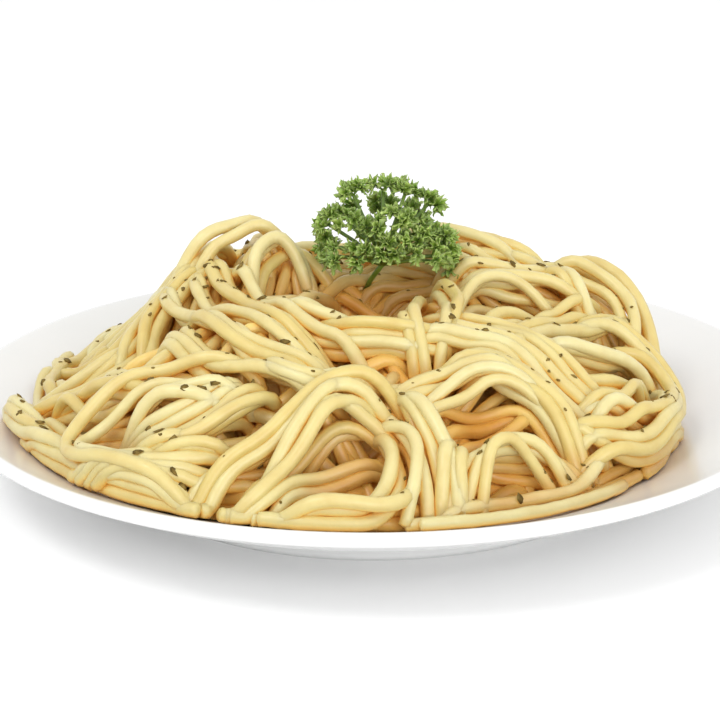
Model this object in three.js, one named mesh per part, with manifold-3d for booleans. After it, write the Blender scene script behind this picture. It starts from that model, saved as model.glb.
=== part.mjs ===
// A plate of spaghetti with herbs: a round white plate, a tangled heap of noodles, a sprig of curly parsley.
// Millimetres, +Z up. The plate's foot stands on z = 0 round the origin, and -Y is the near side.

import * as THREE from 'three';
import { mergeVertices } from 'three/addons/utils/BufferGeometryUtils.js';
import Module from 'manifold-3d';

const { degToRad, lerp } = THREE.MathUtils;
const wasm = await Module();
wasm.setup();

// Plate
const RIM_RADIUS = 110;
const RIM_HEIGHT = 24;
const LIP_RADIUS = 1.6;
const LIP_SLOPE = degToRad(27);
const FLOOR_RADIUS = 50;
const FLOOR_HEIGHT = 6;
const FOOT_RADIUS = 70;
const FOOT_WIDTH = 4;
const FOOT_RECESS = 2;
const FOOT_TAPER = 0.6;
const FOOT_WALL = 4.6;
const WALL_STEPS = 6;
const LIP_STEPS = 3;
const PLATE_SEGMENTS = 48;

// Heap: an uneven dome, highest in two humps either side of the dip that holds the parsley
const GAP = 0.4;
const HEAP_CENTRE = [-7.5, -5];
const HEAP_RADII = [90, 93];
const HEAP_EDGE_HEIGHT = 21;
const HEAP_RISE = 37;
const HEAP_POWER = 1.8;
const OUTSIDE_DROP = -0.4;
const LOBES = [
  { at: [-40, 12], radius: 18, rise: 9 },
  { at: [26, 16], radius: 24, rise: 8 },
  { at: [63, 10], radius: 19, rise: 14 },
  { at: [-76, 10], radius: 26, rise: -10 },
  { at: [-60, -62], radius: 24, rise: 5 },
  { at: [62, -48], radius: 22, rise: 5 },
  { at: [33, -80], radius: 16, rise: 3 },
  { at: [-2, -72], radius: 22, rise: 4 },
  { at: [2, -6], radius: 13, rise: -6 },
];
const CORE_DEPTH = 5;
const CORE_EDGE = 1.5;
const CORE_REACH = 0.92;
const CORE_SECTORS = 28;
const CORE_TOP_RINGS = 6;
const CORE_BOTTOM_RINGS = 3;

// Noodles
const NOODLE_RADIUS = 1.65;
const NOODLE_SIDES = 5;
const NOODLE_STEP = 8;
const LEAST_STEPS = 4;
const LENGTH_STEPS = 20;
const NOODLE_PITCH = 4;
const RESTING_CLEARANCE = 0.2;
const DIVE_DEPTH = 6;
const DIVE_LENGTH = 11;
const LOWERING = 1;
const LOWERING_TRIES = 4;

// Forkfuls seen from the near side: arcs from one place to another, bowed to the left of their way
const FORKFULS = [
  { from: [-94, -26], to: [-49, -62], bow: -6, strands: 2, arch: 0 },
  { from: [-82, -28], to: [-60, -6], bow: -9, strands: 1, arch: 0 },
  { from: [-60, -26], to: [-40, 8], bow: 4, strands: 2, arch: 1 },
  { from: [-46, 4], to: [-30, 10], bow: 1, strands: 1, arch: 6 },
  { from: [-38, -15], to: [-13, -5], bow: -4, strands: 1, arch: 0 },
  { from: [20, 10], to: [50, 3], bow: -2, strands: 1, arch: 0 },
  { from: [49, 8], to: [63, -12], bow: 2, strands: 1, arch: 1 },
  { from: [50, 16], to: [74, -14], bow: 6, strands: 2, arch: 1 },
  { from: [18, -27], to: [50, -11], bow: 6, strands: 1, arch: 0 },
  { from: [20, -48], to: [63, -4], bow: -2, strands: 2, arch: 1 },
  { from: [40, -39], to: [72, -21], bow: -1, strands: 1, arch: 0 },
  { from: [-17, -25], to: [19, -31], bow: -15, strands: 2, arch: 1 },
  { from: [5, -14], to: [10, -43], bow: -2, strands: 1, arch: 1 },
  { from: [15, -12], to: [15, -41], bow: 4, strands: 1, arch: 1 },
  { from: [-47, 0], to: [-9, -55], bow: -6, strands: 2, arch: 1 },
  { from: [-49, -29], to: [-7, -68], bow: -6, strands: 1, arch: 1 },
  { from: [-16, -71], to: [5, -51], bow: -3, strands: 1, arch: 1 },
  { from: [12, -41], to: [63, -63], bow: 4, strands: 2, arch: 1 },
  { from: [54, -52], to: [82, -18], bow: -10, strands: 1, arch: 0 },
  { from: [-64, -77], to: [-23, -73], bow: -3, strands: 2, arch: 0 },
  { from: [-58, -60], to: [-57, -82], bow: -13, strands: 2, arch: 1 },
  { from: [5, -64], to: [38, -56], bow: 1, strands: 1, arch: 1 },
  { from: [19, -90], to: [53, -74], bow: 14, strands: 2, arch: 1 },
  { from: [-35, -91], to: [4, -70], bow: 3, strands: 2, arch: 1 },
  { from: [4, -73], to: [-20, -97], bow: 11, strands: 1, arch: 1 },
  { from: [5, -66], to: [12, -94], bow: 4, strands: 2, arch: 1 },
];

// Noodles round the heap's edge, lying on the plate with their ends tucked in (angles in degrees)
const RIM_STRANDS = 10;
const RIM_SWEEP = 31;
const RIM_SHARE = 0.975;
const RIM_WAVER = 0.02;
const RIM_TUCK = 0.08;

// Noodles of the far side, running down from the crown in two rows (angles in degrees)
const BACK_STRANDS = 14;
const BACK_SPAN = 185;
const BACK_TURN = 20;
const BACK_ROWS = [
  [0.6, 0.93],
  [0.3, 0.74],
];
const BACK_BOW = 7;

// Herb flecks
const FLECK_RADIUS = 1.1;
const FLECK_SINK = 0.35;

// Parsley: a stem in the dip, with frilled leaves on short stalks all round it
const SPRIG_FOOT = [-5, -4];
const STEM_LEAN = [7, 3];
const HUB_HEIGHT = 54.5;
const STEM_RADIUS = 1.1;
const STEM_SIDES = 5;
const STALK_RADIUS = 0.77;
const STALK_ARCH = 0.6;
const LEAVES = 9;
const LEAF_LENGTH = 14;
const LEAF_SPREAD = degToRad(78);
const LEAF_COLUMNS = 8;
const LEAF_ROWS = 2;
const LEAF_THICKNESS = 0.7;
const LEAF_FRILL = 1.7;
const LEAF_FRILL_DRIFT = 0.7;
const LEAF_LOBE_DEPTH = 0.2;
const LEAF_LOBES = 4.6;
const LEAF_NECK = 0.12;
const STALK_IN_LEAF = 0.4;
const LOW_STALK = 8;
const HIGH_STALK = 12;
const LOW_LEAF = degToRad(6);
const HIGH_LEAF = degToRad(78);
const GOLDEN_ANGLE = Math.PI * (3 - Math.sqrt(5));

// Colours
const PORCELAIN = new THREE.MeshStandardMaterial({ color: 0xf2f2f0, roughness: 0.18, metalness: 0 });
const PASTA = new THREE.MeshStandardMaterial({ color: 0xebd391, roughness: 0.45, metalness: 0 });
const HERB = new THREE.MeshStandardMaterial({ color: 0x5f8a30, roughness: 0.6, metalness: 0 });

// Surfaces that the pieces rest on

const LIP_CENTRE = [RIM_RADIUS - LIP_RADIUS, RIM_HEIGHT - LIP_RADIUS];
const INSIDE_RADIUS = LIP_CENTRE[0] - LIP_RADIUS * Math.sin(LIP_SLOPE);
const INSIDE_HEIGHT = LIP_CENTRE[1] + LIP_RADIUS * Math.cos(LIP_SLOPE);
const BOWL_RUN = INSIDE_RADIUS - FLOOR_RADIUS;
const BOWL_RISE = INSIDE_HEIGHT - FLOOR_HEIGHT;
const BOWL_POWER = Math.tan(LIP_SLOPE) * BOWL_RUN / BOWL_RISE;

function plateTop(radius) {
  const along = Math.max(0, radius - FLOOR_RADIUS) / BOWL_RUN;
  return FLOOR_HEIGHT + BOWL_RISE * along ** BOWL_POWER;
}

function plateSlope(radius) {
  const along = Math.max(0, radius - FLOOR_RADIUS) / BOWL_RUN;
  return Math.atan(Math.tan(LIP_SLOPE) * along ** (BOWL_POWER - 1));
}

function heapSkin(x, y) {
  const reach = Math.hypot((x - HEAP_CENTRE[0]) / HEAP_RADII[0], (y - HEAP_CENTRE[1]) / HEAP_RADII[1]);
  let height = HEAP_EDGE_HEIGHT + HEAP_RISE * Math.max(OUTSIDE_DROP, 1 - reach ** HEAP_POWER);
  for (const { at, radius, rise } of LOBES) {
    const away = Math.hypot(x - at[0], y - at[1]) / radius;
    height += rise * Math.exp(-away * away);
  }
  return height;
}

function heapPlace(share, angle) {
  return [
    HEAP_CENTRE[0] + HEAP_RADII[0] * share * Math.cos(angle),
    HEAP_CENTRE[1] + HEAP_RADII[1] * share * Math.sin(angle),
  ];
}

function coreBottom(x, y) {
  return plateTop(Math.hypot(x, y)) + GAP;
}

function coreTop(x, y) {
  return Math.max(heapSkin(x, y) - CORE_DEPTH, coreBottom(x, y) + CORE_EDGE);
}

// Solids

function toSolid(geometry) {
  geometry.deleteAttribute('normal');
  geometry.deleteAttribute('uv');
  const merged = mergeVertices(geometry, 1e-4);
  const vertProperties = new Float32Array(merged.attributes.position.array);
  const triVerts = new Uint32Array(merged.index.array);
  return new wasm.Manifold(new wasm.Mesh({ numProp: 3, vertProperties, triVerts }));
}

function toGeometry(solid) {
  const mesh = solid.getMesh();
  const geometry = new THREE.BufferGeometry();
  geometry.setAttribute('position', new THREE.BufferAttribute(mesh.vertProperties, 3));
  geometry.setIndex(new THREE.BufferAttribute(mesh.triVerts, 1));
  geometry.computeVertexNormals();
  return geometry;
}

function meshGeometry(points, triangles) {
  const geometry = new THREE.BufferGeometry();
  geometry.setAttribute('position', new THREE.Float32BufferAttribute(points.flat(), 3));
  geometry.setIndex(triangles.flat());
  return geometry;
}

function outerBody(solid) {
  const bodies = solid.decompose();
  bodies.sort((a, b) => b.volume() - a.volume());
  return bodies[0];
}

function rod(points, radius, sides) {
  const outline = new THREE.Shape();
  for (let side = 0; side < sides; side++) {
    const angle = (2 * Math.PI * side) / sides;
    const corner = [radius * Math.cos(angle), radius * Math.sin(angle)];
    if (side === 0) outline.moveTo(...corner);
    else outline.lineTo(...corner);
  }
  outline.closePath();
  const path = new THREE.CatmullRomCurve3(points.map((point) => new THREE.Vector3(...point)));
  const steps = points.length - 1;
  return toSolid(new THREE.ExtrudeGeometry(outline, { steps, extrudePath: path, bevelEnabled: false }));
}

// Plate: inside from the middle out, round the lip, down the outside to the foot and back to the middle

function plateGeometry() {
  const profile = [[0, FLOOR_HEIGHT]];
  for (let step = 0; step <= WALL_STEPS; step++) {
    const radius = FLOOR_RADIUS + (BOWL_RUN * step) / WALL_STEPS;
    profile.push([radius, plateTop(radius)]);
  }
  for (let step = 1; step <= LIP_STEPS; step++) {
    const angle = LIP_SLOPE + Math.PI / 2 - (Math.PI * step) / LIP_STEPS;
    const [radius, height] = LIP_CENTRE;
    profile.push([radius + LIP_RADIUS * Math.cos(angle), height + LIP_RADIUS * Math.sin(angle)]);
  }
  const lastInside = FOOT_RADIUS - FOOT_WALL * Math.sin(plateSlope(FOOT_RADIUS));
  for (let step = 1; step <= WALL_STEPS; step++) {
    const along = step / WALL_STEPS;
    const radius = lerp(INSIDE_RADIUS, lastInside, along);
    const wall = lerp(2 * LIP_RADIUS, FOOT_WALL, along);
    const slope = plateSlope(radius);
    profile.push([radius + wall * Math.sin(slope), plateTop(radius) - wall * Math.cos(slope)]);
  }
  profile.push([FOOT_RADIUS - FOOT_TAPER, 0]);
  profile.push([FOOT_RADIUS - FOOT_WIDTH, 0]);
  profile.push([FOOT_RADIUS - FOOT_WIDTH - FOOT_TAPER, FOOT_RECESS]);
  profile.push([0, FOOT_RECESS]);
  profile.reverse();
  const outline = profile.map(([radius, height]) => new THREE.Vector2(radius, height));
  return new THREE.LatheGeometry(outline, PLATE_SEGMENTS).rotateX(Math.PI / 2);
}

// Core of the heap: its top follows the skin from below, its bottom follows the plate

function coreSolid() {
  const points = [];
  const triangles = [];
  const addRing = (share, heightAt) => {
    const first = points.length;
    for (let sector = 0; sector < CORE_SECTORS; sector++) {
      const [x, y] = heapPlace(share, (2 * Math.PI * sector) / CORE_SECTORS);
      points.push([x, y, heightAt(x, y)]);
    }
    return first;
  };
  const joinRings = (inner, outer) => {
    for (let sector = 0; sector < CORE_SECTORS; sector++) {
      const next = (sector + 1) % CORE_SECTORS;
      triangles.push([inner + sector, outer + sector, outer + next]);
      triangles.push([inner + sector, outer + next, inner + next]);
    }
  };
  const addCap = (ring, height, upward) => {
    const middle = points.push([...HEAP_CENTRE, height]) - 1;
    for (let sector = 0; sector < CORE_SECTORS; sector++) {
      const next = (sector + 1) % CORE_SECTORS;
      triangles.push(upward ? [middle, ring + sector, ring + next] : [middle, ring + next, ring + sector]);
    }
  };
  const rings = [];
  for (let ring = 1; ring <= CORE_TOP_RINGS; ring++) {
    rings.push(addRing((CORE_REACH * ring) / CORE_TOP_RINGS, coreTop));
  }
  for (let ring = CORE_BOTTOM_RINGS; ring >= 1; ring--) {
    rings.push(addRing((CORE_REACH * ring) / CORE_BOTTOM_RINGS, coreBottom));
  }
  addCap(rings[0], coreTop(...HEAP_CENTRE), true);
  for (let ring = 1; ring < rings.length; ring++) joinRings(rings[ring - 1], rings[ring]);
  addCap(rings.at(-1), coreBottom(...HEAP_CENTRE), false);
  return toSolid(meshGeometry(points, triangles));
}

// Ways of the noodles in plan

function arcWay({ from, to, bow }, shift) {
  const start = new THREE.Vector2(...from);
  const end = new THREE.Vector2(...to);
  const chord = end.clone().sub(start);
  const side = new THREE.Vector2(-chord.y, chord.x).normalize();
  const radius = (chord.lengthSq() / 4 + bow * bow) / (2 * bow);
  const centre = start.clone().lerp(end, 0.5).addScaledVector(side, bow - radius);
  const first = start.clone().sub(centre).angle();
  const sweep = -4 * Math.atan((2 * bow) / chord.length());
  const away = Math.abs(radius + shift);
  return (share) => {
    const angle = first + sweep * share;
    return [centre.x + away * Math.cos(angle), centre.y + away * Math.sin(angle)];
  };
}

function rimWay(index) {
  const start = (360 * index) / RIM_STRANDS;
  const outermost = RIM_SHARE + RIM_WAVER * Math.sin(5 * index);
  return (share) => {
    const tuck = RIM_TUCK * (2 * share - 1) ** 2;
    return heapPlace(outermost - tuck, degToRad(start + RIM_SWEEP * share));
  };
}

function backWay(index) {
  const angle = (BACK_SPAN * index) / (BACK_STRANDS - 1);
  const [high, low] = BACK_ROWS[index % 2];
  const from = heapPlace(high, degToRad(angle + BACK_TURN));
  const to = heapPlace(low, degToRad(angle - BACK_TURN));
  return arcWay({ from, to, bow: BACK_BOW }, 0);
}

// A noodle lies on the skin, rises in the middle of an arch and dives into the core at both ends

function wayLength(way) {
  let length = 0;
  let [x, y] = way(0);
  for (let step = 1; step <= LENGTH_STEPS; step++) {
    const [nextX, nextY] = way(step / LENGTH_STEPS);
    length += Math.hypot(nextX - x, nextY - y);
    [x, y] = [nextX, nextY];
  }
  return length;
}

function noodlePoints(way, arch, lowered) {
  const length = wayLength(way);
  const steps = Math.max(LEAST_STEPS, Math.round((length + 3 * arch) / NOODLE_STEP));
  const points = [];
  for (let step = 0; step <= steps; step++) {
    const share = step / steps;
    const [x, y] = way(share);
    const fromEnd = Math.min(share, 1 - share) * length;
    const dive = DIVE_DEPTH * Math.max(0, 1 - fromEnd / DIVE_LENGTH) ** 2;
    const lying = heapSkin(x, y) - NOODLE_RADIUS + arch * Math.sin(Math.PI * share) - dive - lowered;
    const resting = coreBottom(x, y) + NOODLE_RADIUS + RESTING_CLEARANCE;
    points.push([x, y, Math.max(lying, resting)]);
  }
  return points;
}

function allNoodles() {
  const noodles = [];
  for (let index = 0; index < RIM_STRANDS; index++) noodles.push({ way: rimWay(index), arch: 0 });
  for (let index = 0; index < BACK_STRANDS; index++) noodles.push({ way: backWay(index), arch: 0 });
  for (const forkful of FORKFULS) {
    for (let strand = 0; strand < forkful.strands; strand++) {
      const shift = NOODLE_PITCH * (strand - (forkful.strands - 1) / 2);
      noodles.push({ way: arcWay(forkful, shift), arch: forkful.arch });
    }
  }
  return noodles;
}

function fleck([x, y, z], turn) {
  const lump = new THREE.TetrahedronGeometry(FLECK_RADIUS);
  lump.rotateX(turn).rotateZ(2 * turn);
  lump.translate(x, y, z + NOODLE_RADIUS - FLECK_SINK);
  return toSolid(lump);
}

function heapSolid(parsley) {
  let heap = coreSolid();
  allNoodles().forEach(({ way, arch }, index) => {
    for (let attempt = 0; attempt < LOWERING_TRIES; attempt++) {
      const points = noodlePoints(way, arch, attempt * LOWERING);
      if (!rod(points, NOODLE_RADIUS + GAP, NOODLE_SIDES).intersect(parsley).isEmpty()) continue;
      heap = heap.add(rod(points, NOODLE_RADIUS, NOODLE_SIDES));
      const middle = points[Math.floor(points.length / 2)];
      const fromSprig = Math.hypot(middle[0] - SPRIG_FOOT[0], middle[1] - SPRIG_FOOT[1]);
      if (index % 2 && fromSprig > HIGH_STALK + LEAF_LENGTH) heap = heap.add(fleck(middle, index));
      return;
    }
  });
  return outerBody(heap.subtract(rod(stemPoints(GAP), STEM_RADIUS + GAP, STEM_SIDES)));
}

// Parsley leaf: a lobed fan, frilled more towards its edge, with the same grid on both faces

function leafSolid(axis, tip, size, phase) {
  const across = new THREE.Vector3(0, 0, 1).cross(axis).normalize();
  const facing = axis.clone().cross(across).normalize();
  const points = [];
  for (const face of [0.5, -0.5]) {
    for (let row = 0; row <= LEAF_ROWS; row++) {
      for (let column = 0; column <= LEAF_COLUMNS; column++) {
        const angle = LEAF_SPREAD * ((2 * column) / LEAF_COLUMNS - 1);
        const lobes = 1 - LEAF_LOBE_DEPTH * (1 - Math.cos(angle * LEAF_LOBES));
        const share = lerp(LEAF_NECK, 1, row / LEAF_ROWS);
        const reach = size * share * lobes;
        const wave = (column % 2 ? 1 : -1) * Math.cos(LEAF_FRILL_DRIFT * column + phase);
        const frill = LEAF_FRILL * share * share * wave;
        const point = tip.clone();
        point.addScaledVector(axis, reach * Math.cos(angle));
        point.addScaledVector(across, reach * Math.sin(angle));
        point.addScaledVector(facing, frill + face * LEAF_THICKNESS);
        const lowest = heapSkin(point.x, point.y) + GAP + (face + 0.5) * LEAF_THICKNESS;
        points.push([point.x, point.y, Math.max(point.z, lowest)]);
      }
    }
  }
  const width = LEAF_COLUMNS + 1;
  const under = width * (LEAF_ROWS + 1);
  const triangles = [];
  const addQuad = (a, b, c, d) => triangles.push([a, b, c], [a, c, d]);
  for (let row = 0; row < LEAF_ROWS; row++) {
    for (let column = 0; column < LEAF_COLUMNS; column++) {
      const corner = row * width + column;
      const corners = [corner, corner + width, corner + width + 1, corner + 1];
      addQuad(...corners);
      const below = corners.map((index) => index + under);
      triangles.push([below[0], below[2], below[1]], [below[0], below[3], below[2]]);
    }
    const left = row * width;
    const right = left + LEAF_COLUMNS;
    addQuad(left, left + under, left + width + under, left + width);
    addQuad(right, right + width, right + width + under, right + under);
  }
  for (let column = 0; column < LEAF_COLUMNS; column++) {
    const near = column;
    const far = LEAF_ROWS * width + column;
    addQuad(near, near + 1, near + 1 + under, near + under);
    addQuad(far, far + under, far + 1 + under, far + 1);
  }
  return toSolid(meshGeometry(points, triangles));
}

function stemPoints(deeper) {
  const [x, y] = SPRIG_FOOT;
  const foot = coreTop(x, y);
  return [
    [x, y, foot - deeper],
    [x + STEM_LEAN[0] / 4, y + STEM_LEAN[1] / 2, (foot + HUB_HEIGHT) / 2],
    [x + STEM_LEAN[0], y + STEM_LEAN[1], HUB_HEIGHT],
  ];
}

function parsleySolid() {
  const stem = stemPoints(0);
  const hub = new THREE.Vector3(...stem.at(-1));
  let sprig = rod(stem, STEM_RADIUS, STEM_SIDES);
  for (let leaf = 0; leaf < LEAVES; leaf++) {
    const lift = lerp(LOW_LEAF, HIGH_LEAF, leaf / (LEAVES - 1));
    const turn = leaf * GOLDEN_ANGLE;
    const level = Math.cos(lift);
    const axis = new THREE.Vector3(level * Math.cos(turn), level * Math.sin(turn), Math.sin(lift));
    const tip = hub.clone().addScaledVector(axis, lerp(LOW_STALK, HIGH_STALK, Math.sin(lift)));
    const bend = hub.clone().lerp(tip, 0.5).add(new THREE.Vector3(0, 0, STALK_ARCH));
    const inLeaf = tip.clone().addScaledVector(axis, LEAF_LENGTH * STALK_IN_LEAF);
    const stalk = [hub, bend, tip, inLeaf].map((point) => point.toArray());
    sprig = sprig.add(rod(stalk, STALK_RADIUS, STEM_SIDES));
    sprig = sprig.add(leafSolid(axis, tip, LEAF_LENGTH, leaf));
  }
  return outerBody(sprig);
}

// Scene graph

const parsley = parsleySolid();

function namedMesh(name, geometry, material) {
  const mesh = new THREE.Mesh(geometry, material);
  mesh.name = name;
  return mesh;
}

const dish = new THREE.Group();
dish.add(namedMesh('plate', plateGeometry(), PORCELAIN));
dish.add(namedMesh('spaghetti', toGeometry(heapSolid(parsley)), PASTA));
dish.add(namedMesh('parsley', toGeometry(parsley), HERB));

export default dish;
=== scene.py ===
"""A plate of creamy spaghetti with herbs and parsley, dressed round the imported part.

Lengths are millimetres until a mesh is made. -Y is the near side, and the plate's foot stands on z = 0.
"""

import math

import bpy
import numpy as np
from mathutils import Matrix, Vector


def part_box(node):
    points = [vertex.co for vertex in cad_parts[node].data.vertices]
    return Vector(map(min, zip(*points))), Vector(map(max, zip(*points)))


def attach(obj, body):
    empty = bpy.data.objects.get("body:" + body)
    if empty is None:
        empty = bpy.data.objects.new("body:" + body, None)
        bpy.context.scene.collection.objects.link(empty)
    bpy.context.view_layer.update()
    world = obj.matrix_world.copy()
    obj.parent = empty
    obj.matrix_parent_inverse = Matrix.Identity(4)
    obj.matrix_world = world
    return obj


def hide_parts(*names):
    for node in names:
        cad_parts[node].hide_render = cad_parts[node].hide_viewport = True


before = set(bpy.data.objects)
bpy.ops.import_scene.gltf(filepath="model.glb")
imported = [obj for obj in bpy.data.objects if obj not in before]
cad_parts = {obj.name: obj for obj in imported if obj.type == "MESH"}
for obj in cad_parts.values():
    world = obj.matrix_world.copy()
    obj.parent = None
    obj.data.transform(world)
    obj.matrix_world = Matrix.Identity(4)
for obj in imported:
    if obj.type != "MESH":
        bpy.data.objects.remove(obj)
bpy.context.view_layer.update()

MM = 0.001
# Too small to show: guards divisions by zero, and merges points that are in one place
TINY = 1e-6

# Seeds: each kind of draw has its own, so that more draws of one kind don't change another's
SEED = 20
BACK_SEED = (SEED, 2)
BACK_WAY_SEED = (SEED, 3)
FORKFUL_SEED = (SEED, 4)
HAIRPIN_SEED = (SEED, 5)
FILL_SEED = (SEED, 6)
UPPER_LAY_SEED = (SEED, 7)
FOOT_LAY_SEED = (SEED, 8)
RIM_SEED = (SEED, 11)
FOOT_SEED = (SEED, 12)
NOODLE_SEED = SEED + 1
FLECK_SEED = SEED + 2
PARSLEY_SEED = SEED + 3

# Plate: the rim comes from the frame, the rest repeats the part's own sizes
_, PLATE_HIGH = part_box("plate")
RIM_RADIUS = PLATE_HIGH.x / MM
RIM_HEIGHT = 24.0
LIP_RADIUS = 1.6
LIP_SLOPE = math.radians(27)
FLOOR_RADIUS = 50.0
FLOOR_HEIGHT = 6.0
FOOT_RADIUS = 70.0
FOOT_WIDTH = 4.0
FOOT_RECESS = 2.0
FOOT_TAPER = 0.6
FOOT_WALL = 4.6
PLATE_SEGMENTS = 192
BOWL_STEPS = 27
LIP_STEPS = 12
WALL_STEPS = 24
FOOT_STEPS = 4

# Heap: an uneven dome over an ellipse
HEAP_CENTRE = (-7.5, -5.0)
HEAP_RADII = (90.0, 93.0)
HEAP_EDGE_HEIGHT = 21.0
HEAP_RISE = 37.0
HEAP_POWER = 1.8
OUTSIDE_DROP = -0.4
# Humps (rise above 0) and dips on the dome, as x, y, radius, rise
LOBES = (
    (-40, 12, 18, 9), (26, 16, 24, 8), (63, 10, 19, 14),
    (-76, 10, 26, -10), (-60, -62, 24, 5), (62, -48, 22, 5),
    (33, -80, 16, 3), (-2, -72, 22, 4), (2, -6, 13, -6),
)
# Holes that the forkfuls leave between them and bend round, as x, y, radius, depth
HOLES = (
    (-5, -13, 14, 22), (-23, -70, 6, 9), (27, -64, 9, 8), (34, -84, 7, 8), (-5, -84, 8, 12), (-8, -76, 4, 5),
    (-60, -73, 6, 5), (51, -26, 7, 6), (31, -16, 7, 6), (61, -2, 6, 8), (-23, -3, 6, 7), (-20, -20, 5, 5),
    (-36, 9, 7, 9), (-3, -53, 6, 10), (-32, -88, 6, 8),
)
# How near a way heeds a hole, how near it may come and how wide it bends, in radii of the hole
HOLE_REACH = 2
HOLE_CLEAR = 0.75
HOLE_BEND = 1.8
# A way that meets a hole this near to its end is cut short, and one that arches this high runs over it
END_POINTS = 4
LOOP_ARCH = 3.0
# Room for each upper layer, how far the fill's top lies under the skin, and the bed under the fill
LAYER_DEPTH = 3.6
FILL_DEPTH = 5.5
BED_DEPTH = 6.0
COVER_BLUR = 10.0
PLATE_GAP = 0.4
# Painted shade: how far under the heap's skin the noodles begin to darken to brown and are darkest
SHADE_DEPTHS = (6.5, 13.0)

# Core: packed noodles in sauce, whose top lies a little under the noodles; its golden-brown colour is painted
# shade
SAUCE_BLUR = 8.0
SAUCE_DEPTH = 5.0
SAUCE_UNDER_FILL = 1.6
CORE_SHARE = 0.9
CORE_TAPER = 0.2
CORE_LEAST_DEPTH = 1.0
CORE_RISE = 0.5
CORE_RINGS = 64
CORE_UNDER_RINGS = 8
CORE_SECTORS = 240

# Noodles
NOODLE_RADIUS = 1.65
NOODLE_RADIUS_SPREAD = 0.1
NOODLE_STEP = 2.0
OUTER_SIDES = 9
INNER_SIDES = 7
TIP_REACH = 0.4
LUMP_WAVES = (17.0, 7.3)
LUMP_SIZE = 0.025
# Which part of the pasta's range of colours each kind of noodle takes; the inner noodles' deeper golden is
# painted shade
INNER_TINTS = (0.0, 0.3)
OUTER_TINTS = (0.4, 1.0)

# How a noodle lies: it sags, sinks into those below, is pressed towards the skin, and dives at its ends
GRID_STEP = 0.5
SAG = 0.11
DRAPE_ROUNDS = 3
SQUEEZE = 0.88
PRESS_ROOM = 0.5
PRESS_SHARE = 0.6
HIGHEST_MEAN = 3.0
DIVE_DEPTH = 9.0
DIVE_LENGTH = 14.0
# Where the heap ends: how far out a way may run, and over what share it turns along the edge
EDGE_SHARE = 0.985
EDGE_BEND = 0.05
EDGE_DEPTH = 8.0
EDGE_ROUNDS = 4
LEAST_POINTS = 7
LEAST_SPACING = 1.3

# Ways: arcs and curves seen from above, which waver in waves given as length and share
LEAST_BOW = 0.3
LEAST_ARC_RADIUS = 2.0
LEAST_ARC_POINTS = 6
SPLINE_STEPS = 12
EXTRA_LENGTH = 6.0
WAVER = 0.7
WAVER_WAVES = ((45, 1.0), (21, 0.5))
# How much the strands of one bundle differ
SHIFT_SPREAD = 0.5
END_SPREAD = 2.0
BOW_SPREAD = 0.08
ARCH_SPREAD = 0.1
HAIRPIN_SHIFT_SPREAD = 0.4
HAIRPIN_TRIM = 4

# Forkfuls in the order they were laid: from x, y, to x, y, bow, strands, width, arch
FORKFULS = (
    # left flank
    (-95, -24, -49, -61, -6, 6, 16, 0), (-78, -34, -36, -58, -6, 5, 14, 0), (-84, -26, -60, -4, -9, 5, 14, 0),
    (-60, -26, -40, 8, 4, 5, 14, 1), (-54, -44, -37, -17, -5, 4, 10, 0),
    # crown
    (-39, -15, -18, -6, -4, 4, 9, 0), (-33, -9, -18, 2, 5, 3, 6, 2), (-49, 3, -26, 11, 1, 3, 5, 5),
    (20, 10, 50, 3, -2, 6, 16, 0), (24, -5, 53, 6, -4, 4, 8, 0), (8, 17, 44, 13, 2, 4, 9, 1.2),
    # right shoulder
    (49, 8, 63, -12, 2, 4, 10, 1), (49, 16, 70, -12, 7, 5, 10, 2.5), (18, -27, 50, -11, 6, 4, 9, 0),
    (20, -48, 63, -4, -2, 5, 13, 0), (40, -39, 72, -21, -1, 5, 12, 0), (45, -48, 72, -31, -4, 3, 8, 0),
    # round the dip under the parsley
    (-17, -25, 19, -31, -15, 5, 8, 0), (-18, -35, -11, -6, 2, 3, 6, 0), (-19, -21, 13, -23, -7, 3, 6, 0),
    # middle
    (-47, 0, -9, -55, -6, 7, 20, 0), (-49, -29, -7, -68, -6, 5, 13, 0), (-27, -56, -7, -62, -7, 3, 6, 0),
    (-16, -71, 5, -51, -3, 4, 9, 0), (12, -41, 63, -63, 4, 8, 20, 0), (16, -52, 53, -67, 5, 3, 7, 0),
    # right lobe
    (50, -55, 77, -28, -8, 3, 8, 0),
    # left swirl
    (-62, -77, -41, -85, -2, 2, 4, 0),
    (-64, -77, -23, -73, -3, 5, 12, 0), (-56, -69, -25, -68, -5, 4, 9, 0),
    # along the near rim
    (14, -92, 53, -66, -6, 2, 5, 0),
    # front
    (5, -64, 38, -56, 1, 4, 9, 0), (18, -91, 54, -76, 15, 5, 9, 0),
    (-35, -91, 4, -70, 3, 7, 15, 0), (-31, -90, -2, -70, -1, 2, 3.5, 0), (4, -73, -20, -97, 11, 3, 6, 0),
    (5, -66, 12, -94, 4, 5, 10, 0), (18, -73, 18, -92, -2, 2, 4, 0),
    # right of the dip under the parsley
    (7, -8, 9, -40, -2, 2, 3.5, 1), (15, -8, 17, -40, 3, 2, 3.5, 1),
    # in the left swirl
    (-60, -67, -30, -63, -4, 5, 10, 0), (-57, -75, -40, -75, -3, 4, 7, 0),
)
# Hairpins: bundles that turn back on themselves, as strands, width and places on the way
HAIRPINS = (
    (6, 11, ((-26, -60), (-42, -57), (-57, -57), (-67, -62), (-68, -72), (-60, -79), (-46, -82), (-37, -83))),
    (5, 13, ((43, -60), (56, -55), (67, -46), (74, -35), (75, -25), (69, -17), (59, -18), (48, -24))),
)
# Fill: noodles of any heading, with the best of some tries laid where there is room
FILL_STRANDS = 190
FILL_TRIES = 8
FILL_LEAST = 0.5
FILL_SHARE = 0.91
FILL_MIDDLE_SHARE = 0.95
FILL_HALF_LENGTHS = (18, 45)
FILL_BOWS = (-22, 22)
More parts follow.
